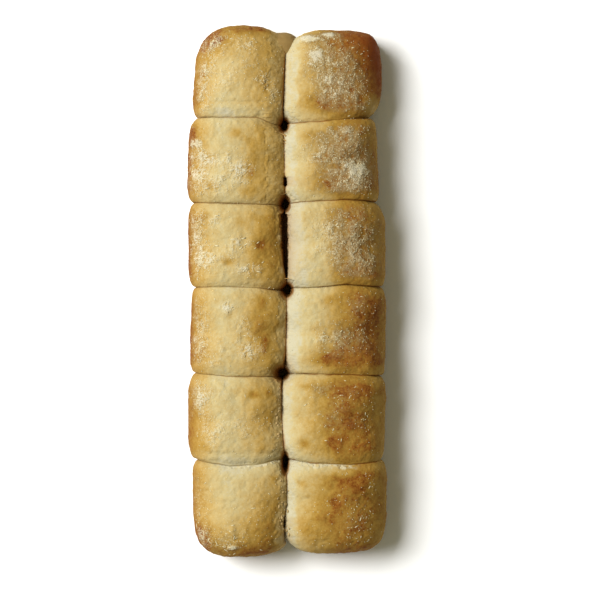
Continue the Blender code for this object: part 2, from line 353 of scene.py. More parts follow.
def open_pits(bent, held, roll):
    """Move a roll's skin out of the pits.

    Round a pit the skin moves out along the pit's radius r to (r^k + R^k)^(1/k), where R widens
    upwards and wavers by a noise. Deep in the pit it leans towards its own roll. Returns the
    points, each one's distance from a pit in the pit's sizes, and a noise that changes only
    with the direction from the pit.
    """
    x, y, z = held.T
    waver = 1 + PIT_WAVER * noise(bent, 2.2 * MM, 75)
    pit, rays = np.full(len(held), NO_PIT), np.zeros(len(held))
    for mid_x, mid_y, half_x, half_y in PITS:
        share = np.interp(z, PIT_HEIGHTS, PIT_SHARES) * waver
        away_x, away_y = (x - mid_x) / half_x, (y - mid_y) / half_y
        radius = np.hypot(away_x, away_y)
        inside = radius < PIT_REACH
        far_side = PIT_LEAN * np.sign(roll["centre"][1] - mid_y)
        lead_x, lead_y = away_x + PIT_LEAN * roll["side"], away_y + far_side
        lead = np.hypot(lead_x, lead_y) + TINY
        pushed = (radius**PIT_LIP_POWER + share**PIT_LIP_POWER) ** (1 / PIT_LIP_POWER)
        blend = np.clip(share / (radius + TINY) - 0.6, 0, 1)
        way_x = (1 - blend) * away_x / (radius + TINY) + blend * lead_x / lead
        way_y = (1 - blend) * away_y / (radius + TINY) + blend * lead_y / lead
        size = np.hypot(way_x, way_y) + TINY
        x = np.where(inside, mid_x + half_x * pushed * way_x / size, x)
        y = np.where(inside, mid_y + half_y * pushed * way_y / size, y)
        around = np.stack([x - mid_x, y - mid_y, np.zeros_like(x)], axis=1)
        away = np.hypot(around[:, 0] / half_x, around[:, 1] / half_y)
        pit = np.minimum(pit, away)
        spokes = around / (np.linalg.norm(around, axis=1)[:, None] + TINY)
        rays = np.where(away < RAY_REACH, noise(spokes + mid_y / MM, 0.13, 77), rays)
    return np.stack([x, y, z], axis=1), pit, rays


# Baking and flour. The tops took colour, the outer sides and the near right-hand rolls more,
# and the shoulders that were sheltered in the valley stayed pale. Rice flour shaken over the
# dough clings in gritty grains on the outer half of each roll.
# How baked the skin is at each distance from the valley, in mm, from 0 pale to 1 burnt, the
# most that it is without being scorched, and how strongly the browned patches below count.
BAKE = {
    -1: ((0, 8, 14, 19, 24, 29, 34, 38, 43, 47, 51, 55, 58),
         (0.60, 0.61, 0.57, 0.48, 0.37, 0.28, 0.22, 0.22, 0.31, 0.44, 0.57, 0.73, 0.92)),
    1: ((1, 5, 10, 15, 20, 25, 30, 34, 39, 44, 49, 54, 58),
        (0.02, 0.12, 0.28, 0.43, 0.57, 0.72, 0.84, 0.90, 0.93, 0.93, 0.90, 0.84, 0.78)),
}
MOST_BAKED = 0.93
BROWNING = 1.3
# How much more each roll baked than its column, from the far end.
ROLL_TONES = {
    -1: (0.0, 0.0, 0.03, 0.02, -0.02, -0.02),
    1: (0.04, 0.00, -0.04, 0.00, -0.03, 0.02),
}
# Skin that faced the valley stretched and stayed pale: width of that strip on each roll, how
# soft its edge is, how pale it is and how much of it is, all lengths in mm.
STRIPS = {
    -1: ((9.5, 1.5, 0.48, 0.8), (11.0, 1.2, 0.50, 0.9), (4, 2, 0.35, 0.3), (5, 1.5, 0.30, 0.5),
         (4.5, 1.5, 0.30, 0.5), (5, 2, 0.25, 0.5)),
    1: ((8.5, 1.2, 0.10, 0.9), (6.5, 2.0, 0.06, 0.9), (12.0, 2.5, 0.02, 0.8), (8, 3, 0.00, 0.8),
        (6, 2, 0.10, 0.7), (6, 2, 0.05, 0.8)),
}
# Rolls, by row and side, that pulled pale along the last seam, and whose wall at the valley
# tore too. The seam's near side tore in a band of this mean width in mm.
PULLED_PALE = ((LAST_SEAM, -1), (LAST_SEAM, 1), (LAST_SEAM - 1, -1))
TORN_WALLS = ((LAST_SEAM, -1), (LAST_SEAM - 1, -1))
TORN_WIDTHS = {-1: 1.5, 1: 2.1}
# Patches of flour seen from above: X, Y, half width, half length, all in mm, and strength.
FLOUR = (
    (24, 130, 13, 17, 0.85), (13, 150, 6, 2, 1.9), (25, 152.5, 4, 1.8, 1.9), (18, 140, 6, 6, 0.7),
    (37, 122, 8, 14, 0.38), (34, 116, 12, 6, 0.3), (49, 108, 7, 7, 0.2), (30, 92, 14, 8, 0.5),
    (32, 75, 15, 15, 0.5), (41, 70, 7, 10, 0.75), (37, 93, 4, 5, 0.2), (15, 81, 7, 7, 0.55),
    (33, 30, 17, 19, 0.66), (19, 35, 6, 12, 0.35), (44, 18, 8, 10, 0.3), (42, -9, 10, 6, 0.26),
    (31, -28, 15, 9, 0.54), (22, -28, 7, 6, 0.5), (20, -16, 6, 5, 0.3), (30, -69, 19, 18, 0.15),
    (20, -60, 6, 4, 0.6), (36, -60, 9, 6, 0.1), (24, -76, 10, 6, 0.2), (24, -130, 24, 22, 0.09),
    (42, -138, 7, 9, 0.2), (-50, 127, 6, 22, 0.55), (-42, 148, 8, 5, 0.35), (-36, 125, 10, 16, 0.3),
    (-24, 147, 5, 3, 0.5), (-14, 125, 5, 5, 0.6), (-8, 118, 4, 9, 0.4), (-20, 137, 8, 8, 0.25),
    (-54, 72, 6, 14, 0.7), (-43, 64, 9, 7, 0.65), (-26, 70, 6, 6, 0.6), (-54, 87.5, 3.2, 1.8, 1.6),
    (-34, 76, 9, 8, 0.3), (-47, 79, 8, 4, 0.4), (-54, 28, 5, 22, 0.64), (-42.5, 41, 4.5, 4.5, 0.55),
    (-26, 28, 5, 4, 0.6), (-23, 13, 9, 3, 0.75), (-46, 17, 7, 6, 0.5), (-33, 24, 8, 6, 0.35),
    (-53, -25, 6, 20, 0.55), (-36, -10, 5, 4, 0.7), (-24, -24, 8, 12, 0.32), (-21, -36, 7, 5, 0.6),
    (-45, -42, 6, 4, 0.5), (-38, -33, 8, 6, 0.3), (-52, -66, 5, 10, 0.6), (-47, -62, 9, 6, 0.4),
    (-45, -85, 7, 6, 0.5), (-27, -80, 13, 10, 0.3), (-33, -153.3, 2.8, 1.2, 1.5),
    (-50, -148, 6, 9, 0.45), (-34, -150, 8, 6, 0.3), (-20, -132, 12, 10, 0.2),
    (-53, -125, 3, 14, 0.4),
)
# Patches that browned more than their surroundings, or less where the strength is below 0, and
# the far right corner, which scorched.
BROWNED = (
    (50, 143, 9, 13, 0.3), (55, 128, 5, 12, 0.25), (38, 151, 8, 4, 0.2), (14, 113, 8, 4, 0.12),
    (26, 110, 18, 8, 0.12), (35, 109, 8, 6, 0.12), (37, 121, 8, 7, 0.06), (7, 128, 6, 24, 0.07),
    (8, 95, 7, 6, 0.12), (36, 58, 10, 6, 0.1), (22, 150, 9, 6, 0.12), (52, 110, 6, 7, -0.3),
    (19, 78, 3.5, 4, 0.16), (20, 64, 6, 3.5, 0.14), (36, 65, 12, 6, 0.14), (14, 92, 5, 4, 0.1),
    (33, -41, 9, 3, 0.32), (22, -42, 9, 4, 0.14), (50, -12, 6, 5, 0.18), (17, -22, 3.5, 3, 0.14),
    (25, -6, 4, 3, 0.14), (50, -22, 6, 24, 0.14), (40, -57, 14, 5, 0.12), (37, -74, 4, 9, 0.08),
    (10, -91, 2.8, 2.8, 0.34), (27, -90, 3, 3, 0.22), (37, -60, 4, 3, 0.1), (12, -57, 4, 2, 0.14),
    (7, -115, 5, 2.5, 0.3), (43, -115, 4, 5, 0.22), (29, -126, 3, 2.5, 0.2), (43, -141, 3, 4, 0.18),
    (52, -116, 4, 4, -0.1), (38, -131, 10, 15, -0.13), (6, -75, 7, 26, 0.08),
    (18, -94, 12, 6, 0.06), (34, -10, 9, 14, -0.08), (24, -32, 8, 8, -0.08),
    (40, -118, 22, 9, -0.06), (42, -147, 20, 10, -0.1), (21, 28, 9, 26, -0.22),
    (36, 8, 20, 5, 0.14), (36, -41, 20, 6, 0.16), (15, -20, 7, 14, -0.08), (22, -16, 9, 18, -0.16),
    (48, 90, 8, 10, -0.06), (-11, 121, 3.5, 5, 0.12), (-44, 150, 14, 8, 0.48),
    (-50, 132, 7, 18, 0.1), (-32, 158, 22, 4, 0.3), (-55, 110, 3, 12, 0.14), (-56, 94, 4, 5, 0.2),
    (-20, 135, 5, 8, 0.06), (-22, 89, 4, 4, 0.12), (-31, 94, 4, 3, 0.26), (-20, 80, 4, 5, 0.1),
    (-22, 70, 4, 5, 0.26), (-45, 62, 4, 3, 0.28), (-47, 77, 6, 3, 0.14), (-24, 59, 5, 3, 0.2),
    (-35, 17, 4, 3, 0.3), (-19, 18, 5, 6, 0.1), (-16, 27, 3.5, 3, 0.3), (-49, 44, 4, 3, 0.16),
    (-27, 41, 4, 4, 0.1), (-15, -6, 3, 4, 0.22), (-13, -32, 3, 7, 0.2), (-18, -20, 6, 9, 0.22),
    (-48, -36, 5, 4, 0.1), (-33, -14, 3, 3, 0.1), (-52, -50, 6, 3, 0.14), (-20, -62, 3, 2.4, 0.28),
    (-11, -61, 2.2, 2.4, 0.2), (-11, -76, 3, 5, 0.14), (-56, -75, 3, 14, 0.1),
    (-46, -78, 4, 6, 0.1), (-30, -60, 4, 2, 0.1), (-50, -93, 5, 3, 0.1), (-50, -146, 7, 9, 0.22),
    (-50, -75, 8, 24, 0.08), (-50, -42, 8, 6, 0.08), (21, 10, 10, 8, -0.08),
    (-36, -157, 18, 8, 0.38), (-18, -157, 12, 5, 0.16), (-46, -148, 8, 8, 0.04),
    (-8, -112, 3, 3, 0.14), (-38, -116, 5, 4, 0.06), (-9, -146, 6, 12, 0.04),
    (-30, -143, 26, 14, 0.16), (12, -140, 8, 14, 0.14), (37, -110, 9, 8, 0.17),
    (-9, 95, 6, 5, 0.12), (-32, -33, 14, 8, 0.06), (7, -140, 6, 12, 0.06), (38, -70, 10, 8, -0.07),
    (25, -130, 10, 16, 0.06), (34, -143, 12, 8, 0.02), (-30, 106.5, 26, 4, -0.14),
    (-8, -84, 6, 14, -0.14), (-12, -110, 12, 8, -0.12), (-40, 132, 16, 24, 0.06),
    (-7, 30, 8, 24, 0.1), (-22, 155, 10, 4, 0.16), (28, -157, 22, 5, 0.04),
)
BURNT = ((54, 144, 9, 14, 0.95), (57, 128, 5, 12, 0.80), (41, 151, 9, 5, 0.55))
# Dents and rises of the skin in the same terms, with depth in mm as the last number.
DENTS = (
    (29, -126, 2.4, 2, 0.8), (-33, -15, 2.2, 2.4, 0.5), (-24, -8, 2, 2, 0.4), (10, -91, 2, 2, 0.4),
    (-11, 121, 2.2, 3.5, 0.5), (-30, 112, 22, 1.2, 0.55), (-30, 109, 22, 2, -0.25),
    (-35, 16, 2, 2, 0.35), (-15, 27, 2, 1.6, 0.4), (-20, -61, 1.6, 1.6, 0.35),
    (-42, -97, 12, 1.6, 0.5), (-12, -97, 10, 1.6, 0.5), (-6, 149, 4, 4, 0.8),
    (-32.4, -143.5, 2, 3.2, -0.9), (-33, -153.3, 3, 1.3, -0.8), (-48, -145.5, 1.2, 4.5, -0.7),
    (-44.5, -150.5, 1.1, 3.4, -0.6), (-52, -139.5, 0.9, 4.5, -0.5), (-29.5, -148.5, 3.5, 1.2, 0.5),
    (-29, -62, 1.2, 1.2, 0.35), (-30.5, -63.5, 1.2, 1.2, 0.35), (-27.5, -60.5, 1.2, 1.2, 0.35),
)
# How much of the flour each column took, how thinly it covers the outer half, how thickly it
# caked where it is densest, the densities between which it counts, and its grains' spacing.
FLOUR_TAKEN = {-1: 1.35, 1: 1.0}
THIN_COVER = {-1: 0.11, 1: 0.07}
CAKING = {-1: 0.5, 1: 1.0}
LEAST_FLOUR = 0.03
MOST_FLOUR = 1.6
COARSE_GRAIN = 1.5 * MM
SMALL_GRAIN = 0.95 * MM
# How much of the flour has dried in curls and rings, and not in single grains, on each roll.
LACE = {-1: (0.5, 1.0, 0.9, 0.8, 0.7, 0.5), 1: (0.35, 0.9, 1.0, 0.7, 0.6, 0.5)}
# How white the flour stayed on each roll. The rest of it toasted with the crust.
WHITENESS = {-1: (1.0, 1.0, 1.0, 1.0, 1.0, 1.0), 1: (1.0, 1.0, 0.90, 0.72, 0.55, 0.50)}
# How much painted shade darkens the creases on each column at the seams and at the last seam,
# how wide a seam's line of painted shade is, and how far the painted shade reaches on the
# valley's wall, and beyond a pit's rim in the pit's half widths.
SEAM_SHADE_WIDTH = 0.35 * MM
SEAM_SHADE_DEPTH = {-1: 0.40, 1: 0.72}
LAST_SEAM_SHADE_DEPTH = {-1: 0.5, 1: 1.0}
WALL_SHADE_REACH = {-1: 0.7 * MM, 1: 0.8 * MM}
PIT_SHADE_REACH = {-1: 0.50, 1: 0.25}
PIT_RIM = 0.9
# Noises over the skin, each with its size in mm and its seed, and the depth of relief in mm
# that each gives it. Then how high the flour's grains stand.
WAVES = {"slow": (13, 3), "medium": (5, 5), "fine": (2, 7), "finest": (0.9, 9), "clump": (3.2, 11)}
WAVE_DEPTHS = {"slow": 0.38, "medium": 0.27, "fine": 0.17, "finest": 0.06, "clump": 0.12}
GRAIN_HEIGHT = 0.42 * MM


def grains(points, size, seed):
    """Height from 0 to 1 of round grains, one to a cell, a quarter to three quarters of it wide."""
    scaled = points / size
    cell = np.floor(scaled).astype(np.int64)
    height = np.zeros(len(points))
    for step in itertools.product((-1, 0, 1), repeat=3):
        near = cell + step
        place = near + np.stack([scatter(near, seed + k) for k in (1, 2, 3)], axis=-1)
        width = 0.25 + 0.5 * scatter(near, seed + 4)
        gap = np.linalg.norm(scaled - place, axis=1) / width
        height = np.maximum(height, np.sqrt(np.clip(1 - gap * gap, 0, 1)) * width)
    return height / 0.75


def patches(points, spots):
    """Sum of soft ovals in plan, each exp(-(x/a)^2 - (y/b)^2) times its strength."""
    total = np.zeros(len(points))
    for x, y, half_x, half_y, strength in spots:
        gap = ((points[:, 0] - x * MM) / (half_x * MM)) ** 2
        gap += ((points[:, 1] - y * MM) / (half_y * MM)) ** 2
        total += strength * np.exp(-gap)
    return total


def skin_normals(points, faces):
    """Outward normals: each point's share of the cross products of its faces' diagonals."""
    tilt = np.cross(
        points[faces[:, 2]] - points[faces[:, 0]], points[faces[:, 3]] - points[faces[:, 1]]
    )
    corners = faces.ravel()
    total = [np.bincount(corners, np.repeat(tilt[:, k], 4), len(points)) for k in range(3)]
    total = np.stack(total, axis=1)
    return total / (np.linalg.norm(total, axis=1)[:, None] + TINY)


def survey(roll):
    """Part a roll from its neighbours and measure its skin.

    Distances run from the valley's bottom, from the side of its gap, from the seams, where a
    free end counts as a metre away, and from the pits' rims. The noises come with them.
    """
    side, row = roll["side"], roll["row"]
    bent, held, seams = part_rolls(roll["points"], roll)
    points, pit, rays = open_pits(bent, held, roll)
    normals = skin_normals(points, roll["faces"])
    x, y, z = points.T
    half = np.interp(y, VALLEY[:, 0], VALLEY[:, 2])
    to_valley = side * (x - np.interp(y, VALLEY[:, 0], VALLEY[:, 1]))
    no_seam = np.full(len(points), 1.0)
    to_far = np.abs(seams[1] - y) if 1 in seams else no_seam
    to_near = np.abs(y - seams[-1]) if -1 in seams else no_seam
    return SimpleNamespace(
        side=side, row=row, points=points, normals=normals, x=x, y=y, z=z, up=normals[:, 2],
        half=half, to_valley=to_valley, from_wall=to_valley - half,
        to_seam=np.minimum(to_far, to_near), to_last=to_far if row == LAST_SEAM else to_near,
        pit=pit, from_rim=np.clip(pit - PIT_RIM, 0, NO_PIT), rays=rays,
        **{name: noise(points, size * MM, seed) for name, (size, seed) in WAVES.items()},
    )


def flour_skin(skin):
    """How much flour lies on the skin, how gritty and caked it is, and where the skin burnt.

    Density: patches and a thin cover on the outer half, times 1 plus noises, fading out on
    steep skin and at seams, and thinner where burnt. Grit: the highest of coarse grains, small
    grains and lace, and lace runs where a noise is near 0. Flour shows as density times a
    quarter plus three quarters of the grit, or as caked where it is densest.
    """
    points, side = skin.points, skin.side
    density = FLOUR_TAKEN[side] * patches(points, FLOUR)
    density += THIN_COVER[side] * ramp(skin.to_valley, 10 * MM, 30 * MM)
    density *= 1 + 0.25 * skin.slow + 0.35 * skin.medium + 0.55 * skin.clump
    density *= ramp(skin.up, 0.05, 0.55) * ramp(skin.to_seam, 1.5 * MM, 6 * MM)
    burnt = patches(points, BURNT) * (side > 0) * (1 + 0.25 * skin.medium + 0.15 * skin.fine)
    skin.burnt = np.clip(burnt, 0, 1) * ramp(skin.z, 12 * MM, 31 * MM)
    skin.density = np.clip(density, 0, MOST_FLOUR) * (1 - 0.7 * skin.burnt)
    floury = skin.density > LEAST_FLOUR
    coarse, small = np.zeros(len(points)), np.zeros(len(points))
    coarse[floury] = grains(points[floury], COARSE_GRAIN, 21)
    small[floury] = grains(points[floury], SMALL_GRAIN, 51)
    curls = noise(points, 2.6 * MM, 13) + 0.4 * noise(points, 1.2 * MM, 15)
    lace = LACE[side][skin.row] * np.clip(1 - 2.6 * np.abs(curls), 0, 1)
    skin.grit = np.maximum(np.maximum(coarse, 0.85 * small), lace)
    skin.caked = CAKING[side] * ramp(skin.density, 0.8, 1.5)
    skin.white = WHITENESS[side][skin.row]
    skin.flour = skin.white * np.maximum(skin.density * (0.25 + 0.75 * skin.grit), skin.caked)


def bake_skin(skin):
    """How baked the skin is, from 0 to 1.

    The sum of the column's curve, the roll's tone, noises, patches, and a darkening between the
    flour's grains with a lightening on them, partly painted shade and partly flour that toasted
    there. It is then paler by a share beside seams, on the strip that faced the valley, where the
    last seam pulled apart, and round pits, under their painted shade.
    """
    side, row, to_valley = skin.side, skin.row, skin.to_valley
    baked = np.interp(to_valley, np.array(BAKE[side][0]) * MM, BAKE[side][1])
    baked += ROLL_TONES[side][row] + 0.04 * skin.slow + 0.045 * skin.medium + 0.045 * skin.fine
    # Darker between the flour's grains: partly painted shade, partly toasted flour.
    toast_and_grain_shade = (0.20 + 0.3 * (1 - skin.white)) * skin.density * (0.6 - skin.grit)
    baked += BROWNING * patches(skin.points, BROWNED) + toast_and_grain_shade
    baked = np.minimum(baked, MOST_BAKED)
    sheltered = 1 - ramp(skin.to_seam, 1 * MM, 9 * MM)
    most = 0.20 if side < 0 else 0.36 - 0.20 * ramp(to_valley, 22 * MM, 38 * MM)
    baked *= 1 - most * sheltered
    width, soft, paleness, skin.share = STRIPS[side][row]
    edge = to_valley + 1.2 * MM * skin.medium + 0.8 * MM * skin.fine
    skin.strip = skin.share * (1 - ramp(edge, (width - soft) * MM, (width + soft) * MM))
    pale = paleness + 0.06 * skin.medium + 0.05 * skin.fine
    baked = baked * (1 - skin.strip) + skin.strip * pale
    if (row, side) in PULLED_PALE:
        pulled = 0.40 * (1 - ramp(skin.to_last, 3 * MM, 10 * MM))
        baked *= 1 - pulled * ramp(to_valley, 45 * MM, 30 * MM)
    # Paler round the pits, so that the painted pit shade over it reads brown and not orange.
    skin.baked = baked * (1 - 0.35 * np.exp(-((skin.from_rim / 0.55) ** 2)))


def tear_skin(skin):
    """How torn the skin is, down to the white crumb, from 0 to 1.

    A thin line along the valley's wall, broken by a noise. Then a ragged band on the near side
    of the last seam, and a wider line where the wall tore. The highest counts, and none of it
    lies low down or in a pit.
    """
    points, from_wall = skin.points, skin.from_wall
    broken = ramp(noise(points, 4 * MM, 31), -0.1, 0.6)
    crumb = 0.4 * (1 - ramp(from_wall, 0.4 * MM, 3.5 * MM)) * broken
    if skin.row == LAST_SEAM:
        torn = ramp(noise(points, 1.8 * MM, 33), -0.7, 0.2) * ramp(skin.to_valley, 46 * MM, 36 * MM)
        ragged = (TORN_WIDTHS[skin.side] + 0.9 * noise(points, 2.6 * MM, 39)) * MM
        band = 0.95 * (1 - ramp(skin.to_last, 0.8 * ragged, 1.4 * ragged)) * torn
        crumb = np.maximum(crumb, band)
    if (skin.row, skin.side) in TORN_WALLS:
        torn = ramp(noise(points, 1.8 * MM, 35), -0.2, 0.5)
        crumb = np.maximum(crumb, 0.6 * (1 - ramp(from_wall, 0.8 * MM, 3.0 * MM)) * torn)
    skin.crumb = crumb * (ramp(skin.z, 20 * MM, 28 * MM) * ramp(skin.pit, 1.2, 2.2))


def crease_skin(skin):
    """Painted shade of creases: how much the skin is darkened for lying deep in one, from 0 to 1.

    Each crease's painted shade is exp(-(d/w)^2) of the distance d from it: from a seam, in dashes
    of a noise, from the valley's wall, less towards the near end, and from a pit's rim. Wider
    painted shade of exp(-d/w) lies on the wall and on the left column's outer sides. The highest
    counts, and torn crumb is shaded less.
    """
    points, side = skin.points, skin.side
    dashes = ramp(noise(points, 7 * MM, 37), -1.0, 0.3)
    if skin.row >= LAST_SEAM - 1:
        gaps = ramp(noise(points * [1.0, 0.2, 0.2], 3.5 * MM, 38), -0.3, 0.3)
        dashes = np.where(skin.to_last < 2 * MM, gaps * LAST_SEAM_SHADE_DEPTH[side], dashes)
    inner = np.clip(skin.from_wall, 0, 1)
    less_near_end = 1 - 0.55 * ramp(-skin.y, 108 * MM, 118 * MM)
    shade = 0.10 if side < 0 else 0.45 * ramp(skin.half, 0.0, OPEN_GAP)
    # Painted shade at the seams, on the valley's wall, wider on the wall, and round the pits' rims.
    creases = [
        SEAM_SHADE_DEPTH[side] * np.exp(-((skin.to_seam / SEAM_SHADE_WIDTH) ** 2)) * dashes,
        0.70 * less_near_end * np.exp(-((inner / WALL_SHADE_REACH[side]) ** 2)),
        shade * np.exp(-inner / (4.5 * MM)),
        0.86 * np.exp(-((skin.from_rim / PIT_SHADE_REACH[side]) ** 2)),
    ]
    # Painted shade on the left column's outer sides.
    if side < 0:
        creases.append(0.30 * np.exp(-(skin.x - SIDES[side][skin.row]) / (4 * MM)))
    skin.crease = np.max(creases, axis=0) * (1 - 0.6 * skin.crumb)


def relief(skin):
    """How far the skin stands out: the sum of its noises, flour, fibres, rays and torn crumb.

    Flour stands by grit times density, or evenly where caked. Fibres are a noise drawn out
    along X on the pale strip, rougher at its frayed edge on the left. Rays are folds that run
    into the pits. The dents are taken off, and all of it fades out at seams and on the tray.
    """
    height = sum(depth * MM * getattr(skin, name) for name, depth in WAVE_DEPTHS.items())
    gritty = skin.grit * np.clip(skin.density, 0, 1) * (1 - 0.6 * skin.caked)
    height += GRAIN_HEIGHT * (gritty + 0.6 * skin.caked)
    drawn = skin.points * [0.22, 1.0, 0.5]
    fibres = noise(drawn, 0.8 * MM, 17) + 0.5 * noise(drawn, 1.7 * MM, 19)
    height += 0.12 * MM * fibres * skin.strip
    if skin.side < 0:
        frayed = 4 * (skin.strip / skin.share) * (1 - skin.strip / skin.share) * skin.share
        height += 0.30 * MM * frayed * (fibres + skin.fine)
    height += 0.16 * MM * skin.rays * np.exp(-((skin.pit - 1.6) ** 2))
    height += 0.40 * MM * skin.crumb * (skin.finest + skin.fine)
    height -= MM * patches(skin.points, DENTS) * (skin.up > 0.3)
    to_edge = np.minimum(skin.to_seam, skin.from_wall + 0.6 * MM)
    return height * (ramp(skin.z, 0.0, 3 * MM) * ramp(to_edge, 0, 1.2 * MM))


def dress_roll(roll):
    """Part a roll from its neighbours, work out the state of its skin and add its relief.

    The states are how baked, how floury and how torn the skin is, and its painted crease shade.
    """
    skin = survey(roll)
    for work in (flour_skin, bake_skin, tear_skin, crease_skin):
        work(skin)
    states = [skin.baked, skin.flour, skin.crumb, skin.crease]
    skin.states = np.clip(np.stack(states, axis=1), 0, 1)
    skin.points = skin.points + skin.normals * relief(skin)[:, None]
    skin.points[:, 2] = np.maximum(skin.points[:, 2], 0)
    skin.points[roll["base"], 2] = 0
    return skin


def linear(code):
    """An sRGB hex colour as linear red, green, blue and alpha."""
    parts = np.array([int(code[k:k + 2], 16) / 255 for k in (1, 3, 5)])
    parts = np.where(parts <= 0.04045, parts / 12.92, ((parts + 0.055) / 1.055) ** 2.4)
    return (*parts, 1.0)


def add(tree, kind, fields):
    """Add a shader node, and fill in its fields and its sockets, by name or by number.

    A value that is another node's output is linked, and a whole node stands for its first one.
    """
    node = tree.nodes.new("ShaderNode" + kind)
    for field, value in fields.items():
        if isinstance(value, bpy.types.Node):
            value = value.outputs[0]
        if isinstance(value, bpy.types.NodeSocket):
            tree.links.new(value, node.inputs[field])
        elif isinstance(field, int) or field in node.inputs:
            node.inputs[field].default_value = value
        else:
            setattr(node, field, value)
    return node


def start_material(name, roughness, shine):
    """A new material with its node tree and its shader, as rough and as shiny all over."""
    material = bpy.data.materials.new(name)
    material.use_nodes = True
    shader = material.node_tree.nodes["Principled BSDF"]
    shader.inputs["Roughness"].default_value = roughness
    shader.inputs["Specular IOR Level"].default_value = shine
    return material, material.node_tree, shader


# Baked crust: a thin matte skin of dried starch, pale where rolls touched, golden where the
# oven's air reached it and reddish brown where it was hottest. The flour on it sits as fine
# dull grains, which gives the eye a soft, dusty surface with hardly any shine.

CRUST_STOPS = (
    (0.00, "#AEA78C"), (0.20, "#AE9E71"), (0.40, "#A9915C"), (0.55, "#A18346"),
    (0.70, "#957431"), (0.85, "#866123"), (0.93, "#7B4C17"), (1.00, "#643309"),
)
FLOUR_COLOUR = "#BDB496"
BURNT_COLOUR = "#703407"
CAKED_COLOUR = "#C1BBA8"
VEIL_COLOUR = "#80673A"
CRUMB_COLOUR = "#B2AA8E"
# Multiplied in as painted shade in the creases, seams, pits and on the valley's wall.
CREASE_SHADE_COLOUR = "#CC8A2E"
# Mottle and pores: size, detail and roughness of the noise, and how much it sways the baking.
MOTTLES = ((4.5 * MM, 4, 0.58, 0.34), (1.1 * MM, 3, 0.70, 0.38))
SPECK_SIZES = (1.15 * MM, 0.75 * MM)
WRINKLE_SIZE = 1.0 * MM
WRINKLE_DEPTH = 0.5 * MM
# The most that each coat hides of what is under it.
VEIL_MOST = 0.72
DUST_MOST = 0.95
CAKED_MOST = 0.75
CRUMB_MOST = 0.80
EASED = {"interpolation_type": "SMOOTHSTEP"}


